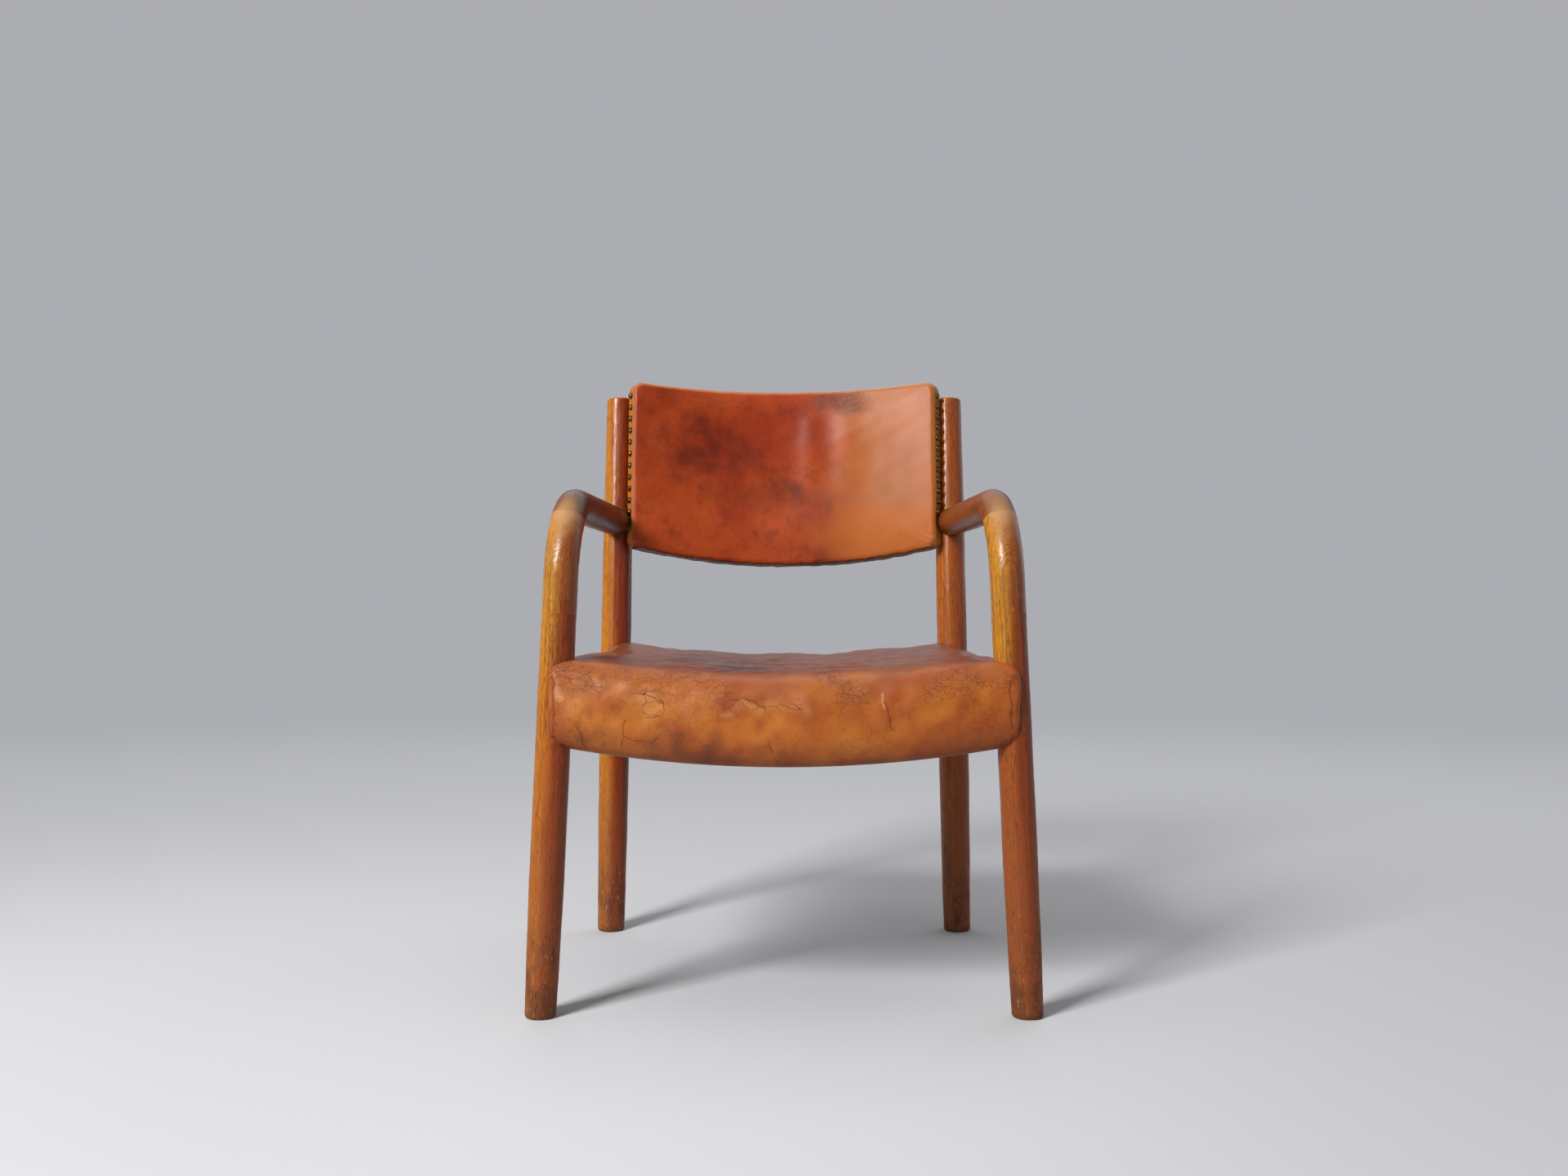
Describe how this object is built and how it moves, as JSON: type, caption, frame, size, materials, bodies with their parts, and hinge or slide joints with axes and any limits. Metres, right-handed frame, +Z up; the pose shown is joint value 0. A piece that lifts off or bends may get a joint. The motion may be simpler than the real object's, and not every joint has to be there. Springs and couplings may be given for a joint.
{
  "type": "armchair",
  "caption": "Oak armchair: round turned legs, bent elbows running into the arms, a saddle-shaped leather seat and a curved leather back panel edged with dome nails.",
  "frame": {"origin": "on the floor, under the middle of the chair's outline in plan", "axes": "+Z up along the chair's height, -Y towards the chair's front, +X to the right as seen from the front"},
  "size_m": [0.6302, 0.6504, 0.8456],
  "materials": {
    "leg_oak": "oiled, worn, satin",
    "elbow_oak": "oiled, worn, satin",
    "arm_oak": "oiled and hand-polished, dark",
    "post_oak": "oiled, satin with gloss on the ridges",
    "frame_beech": "planed, unfinished",
    "plywood": "unfinished",
    "seat_leather": "natural hide, cracked and worn",
    "back_leather": "natural hide, patinated, mottled",
    "wadding": "matt",
    "webbing": "woven jute",
    "dark_cloth": "matt",
    "old_brass": "antique, darkened",
    "steel": "plain"
  },
  "bodies": {
    "root": {"front_leg_left": "leg_oak", "elbow_left": "elbow_oak", "arm_left": "arm_oak", "elbow_dowel_left": "frame_beech", "rear_post_left": "post_oak", "front_leg_right": "leg_oak", "elbow_right": "elbow_oak", "arm_right": "arm_oak", "elbow_dowel_right": "frame_beech", "rear_post_right": "post_oak", "front_rail": "frame_beech", "rear_rail": "frame_beech", "side_rail_left": "frame_beech", "front_block_left": "frame_beech", "rear_block_left": "frame_beech", "side_rail_right": "frame_beech", "front_block_right": "frame_beech", "rear_block_right": "frame_beech", "seat_strap_1": "webbing", "seat_strap_2": "webbing", "seat_strap_3": "webbing", "seat_strap_4": "webbing", "seat_padding": "wadding", "seat_cover": "seat_leather", "seat_dust_cloth": "dark_cloth", "back_shell": "plywood", "back_stile_left": "frame_beech", "back_stile_right": "frame_beech", "back_padding": "wadding", "back_cover": "back_leather", "back_lining": "dark_cloth", "back_screw_left_low": "steel", "back_screw_left_high": "steel", "back_screw_right_low": "steel", "back_screw_right_high": "steel", "nail_left_01": "old_brass", "nail_left_02": "old_brass", "nail_left_03": "old_brass", "nail_left_04": "old_brass", "nail_left_05": "old_brass", "nail_left_06": "old_brass", "nail_left_07": "old_brass", "nail_left_08": "old_brass", "nail_left_09": "old_brass", "nail_left_10": "old_brass", "nail_left_11": "old_brass", "nail_right_01": "old_brass", "nail_right_02": "old_brass", "nail_right_03": "old_brass", "nail_right_04": "old_brass", "nail_right_05": "old_brass", "nail_right_06": "old_brass", "nail_right_07": "old_brass", "nail_right_08": "old_brass", "nail_right_09": "old_brass", "nail_right_10": "old_brass", "nail_right_11": "old_brass", "nail_right_12": "old_brass"}
  },
  "joints": []
}
